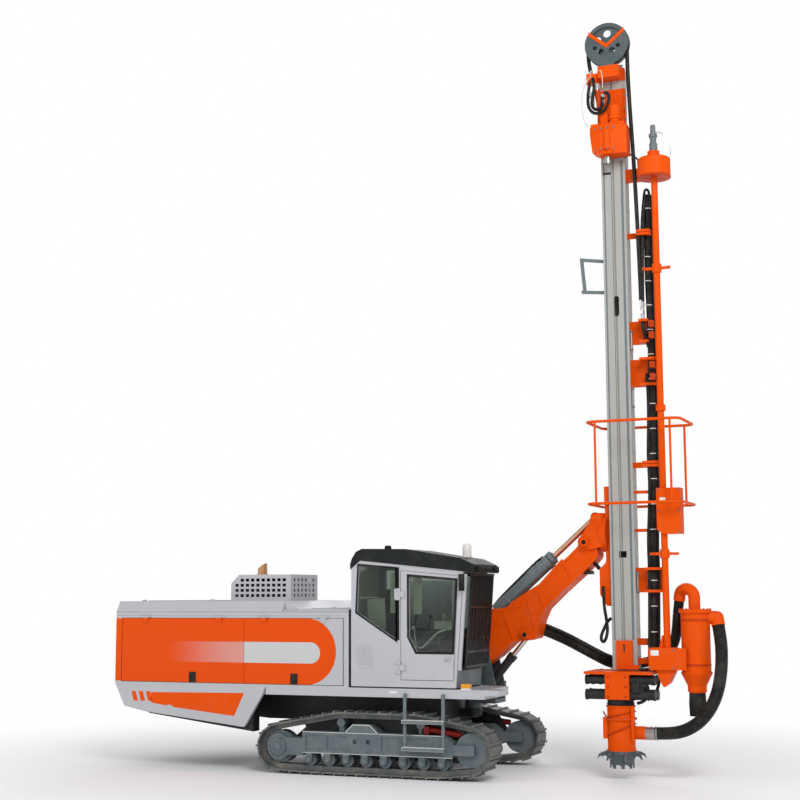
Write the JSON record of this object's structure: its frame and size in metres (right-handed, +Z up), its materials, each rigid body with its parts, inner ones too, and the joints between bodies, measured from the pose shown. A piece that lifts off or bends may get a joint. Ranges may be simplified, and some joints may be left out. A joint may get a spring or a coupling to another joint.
{
  "type": "crawler drilling rig",
  "caption": "Diesel crawler rig for blast holes with engine house, side cab, bent boom and a tall feed mast with rotary head, rod changer, dust hood and cyclone.",
  "frame": {"origin": "On the ground, midway along the machine and across it", "axes": "+X forward towards the mast, +Y to the machine's left, +Z up"},
  "size_m": [8.9136, 2.634, 10.726],
  "materials": {
    "white_paint": "semi-gloss paint, light grey-white",
    "orange_paint": "semi-gloss orange paint",
    "grey_paint": "satin dark grey paint",
    "steel_grey_paint": "satin mid grey paint",
    "pale_grey_paint": "satin pale grey-green paint",
    "black_paint": "satin black paint",
    "track_steel": "worn dark steel",
    "chrome_rod": "ground and chromed",
    "bare_steel": "machined steel",
    "hose_rubber": "matt black rubber",
    "cab_glass": "tinted safety glass",
    "lamp_plastic": "translucent amber and pale lamp caps",
    "cab_trim": "dark plastic and cloth"
  },
  "bodies": {
    "chassis": {"cab_glass": "cab_glass", "cab_guard": "black_paint", "cab_lamps": "lamp_plastic", "cab_roof": "black_paint", "cab_seat": "cab_trim", "cab_shell": "white_paint", "compressor": "steel_grey_paint", "cooler_grille": "black_paint", "dust_collector": "white_paint", "engine": "steel_grey_paint", "engine_house": "white_paint", "exhaust_cover": "white_paint", "exhaust_stub": "bare_steel", "ladder": "steel_grey_paint", "main_frame": "white_paint", "skirt_left": "white_paint", "skirt_right": "white_paint", "track_frame_left": "steel_grey_paint", "track_frame_right": "steel_grey_paint", "track_left": "track_steel", "track_right": "track_steel"},
    "swing": {"swing_bracket": "steel_grey_paint"},
    "arm": {"boom": "orange_paint"},
    "lift_barrel": {"lift_cylinder_barrel": "black_paint"},
    "lift_rod": {"lift_cylinder_rod": "chrome_rod"},
    "tilt_barrel": {"tilt_cylinder_barrel": "steel_grey_paint"},
    "tilt_rod": {"tilt_cylinder_rod": "chrome_rod"},
    "holder": {"feed_holder": "orange_paint"},
    "cradle": {"feed_cradle": "orange_paint"},
    "mast": {"mast_beam": "pale_grey_paint", "drill_table": "grey_paint", "jaw_cylinders": "black_paint", "dust_hood": "orange_paint", "foot_plate": "grey_paint", "changer_arms": "orange_paint", "cyclone": "orange_paint", "cyclone_bracket": "orange_paint", "cyclone_sock": "hose_rubber", "suction_hose": "hose_rubber", "guard_cage": "orange_paint", "hood_hose": "hose_rubber", "mast_guide": "orange_paint", "mast_hose_bundle": "hose_rubber", "mast_hose_clamps": "orange_paint", "mast_hose_frame": "steel_grey_paint"},
    "head": {"rotary_head": "orange_paint"},
    "spindle_rotor": {"spindle": "bare_steel"},
    "sled": {"hose_sled": "orange_paint", "hose_wheel_guard": "grey_paint"},
    "wheel": {"hose_wheel": "grey_paint"},
    "changer": {"rod_changer": "orange_paint"},
    "door_cab": {"cab_door": "white_paint", "cab_door_glass": "cab_glass"},
    "door_right_rear": {"engine_door_right_rear": "orange_paint"},
    "door_right_front": {"engine_door_right_front": "orange_paint"},
    "door_left_rear": {"engine_door_left_rear": "orange_paint"},
    "door_left_front": {"engine_door_left_front": "orange_paint"}
  },
  "joints": [
    {"name": "boom_swing", "type": "hinge", "parent": "chassis", "child": "swing", "pos_m": [0.72, 0.2, 1.1], "axis": [0, 0, 1], "range_deg": [-15, 33]},
    {"name": "boom_lift", "type": "hinge", "parent": "swing", "child": "arm", "pos_m": [0.93, 0.2, 1.6], "axis": [0, -1, 0], "range_deg": [-20, 12]},
    {"name": "feed_tilt", "type": "hinge", "parent": "arm", "child": "holder", "pos_m": [2.49, 0.2, 3.215], "axis": [0, -1, 0], "range_deg": [-10, 75]},
    {"name": "feed_lean", "type": "hinge", "parent": "holder", "child": "cradle", "pos_m": [2.74, 0.2, 3.33], "axis": [1, 0, 0], "range_deg": [-20, 20]},
    {"name": "feed_extension", "type": "slide", "parent": "cradle", "child": "mast", "axis": [0, 0, -1], "range_m": [-0.85, 0]},
    {"name": "carriage_feed", "type": "slide", "parent": "mast", "child": "head", "axis": [0, 0, -1], "range_m": [0, 6.3]},
    {"name": "sled_feed", "type": "slide", "parent": "mast", "child": "sled", "axis": [0, 0, -1], "range_m": [0, 3.15]},
    {"name": "wheel_turn", "type": "hinge", "parent": "sled", "child": "wheel", "pos_m": [3.02, -0.13, 10.408], "axis": [0, 1, 0], "continuous": true},
    {"name": "spindle_turn", "type": "hinge", "parent": "head", "child": "spindle_rotor", "pos_m": [2.99, -0.15, 8.735], "axis": [0, 0, 1], "continuous": true},
    {"name": "rod_changer_swing", "type": "hinge", "parent": "mast", "child": "changer", "pos_m": [3.65, -0.13, 5], "axis": [0, 0, 1], "range_deg": [-90, 25]},
    {"name": "cab_door_hinge", "type": "hinge", "parent": "chassis", "child": "door_cab", "pos_m": [0.183, -1.266, 2], "axis": [0, 0, -1], "range_deg": [0, 90]},
    {"name": "lift_barrel_pivot", "type": "hinge", "parent": "swing", "child": "lift_barrel", "pos_m": [0.93, 0.2, 1.142], "axis": [0, -1, 0], "range_deg": [-13.51, 8.1]},
    {"name": "lift_rod_slide", "type": "slide", "parent": "lift_barrel", "child": "lift_rod", "axis": [0.6484, 0, 0.7613], "range_m": [-0.1129, 0.0678]},
    {"name": "tilt_barrel_pivot", "type": "hinge", "parent": "arm", "child": "tilt_barrel", "pos_m": [1.03, 0.2, 2.19], "axis": [0, -1, 0], "range_deg": [-1.04, 7.82]},
    {"name": "tilt_rod_slide", "type": "slide", "parent": "tilt_barrel", "child": "tilt_rod", "axis": [0.7498, 0, 0.6617], "range_m": [-0.4054, 0.0541]},
    {"name": "door_right_rear_hinge", "type": "hinge", "parent": "chassis", "child": "door_right_rear", "pos_m": [-3.3, -1.266, 2.187], "axis": [-1, 0, 0], "range_deg": [0, 80]},
    {"name": "door_right_front_hinge", "type": "hinge", "parent": "chassis", "child": "door_right_front", "pos_m": [-1.45, -1.266, 2.187], "axis": [-1, 0, 0], "range_deg": [0, 80]},
    {"name": "door_left_rear_hinge", "type": "hinge", "parent": "chassis", "child": "door_left_rear", "pos_m": [-3.3, 1.266, 2.187], "axis": [1, 0, 0], "range_deg": [0, 80]},
    {"name": "door_left_front_hinge", "type": "hinge", "parent": "chassis", "child": "door_left_front", "pos_m": [-1.45, 1.266, 2.187], "axis": [1, 0, 0], "range_deg": [0, 80]}
  ],
  "couplings": [
    {"joint": "sled_feed", "follows": "carriage_feed", "ratio": 0.5},
    {"joint": "lift_barrel_pivot", "follows": "boom_lift", "ratio": 0.662},
    {"joint": "lift_rod_slide", "follows": "boom_lift", "m_per_rad": 0.31722},
    {"joint": "tilt_barrel_pivot", "follows": "feed_tilt", "ratio": 0.10226},
    {"joint": "tilt_rod_slide", "follows": "feed_tilt", "m_per_rad": -0.30365}
  ]
}
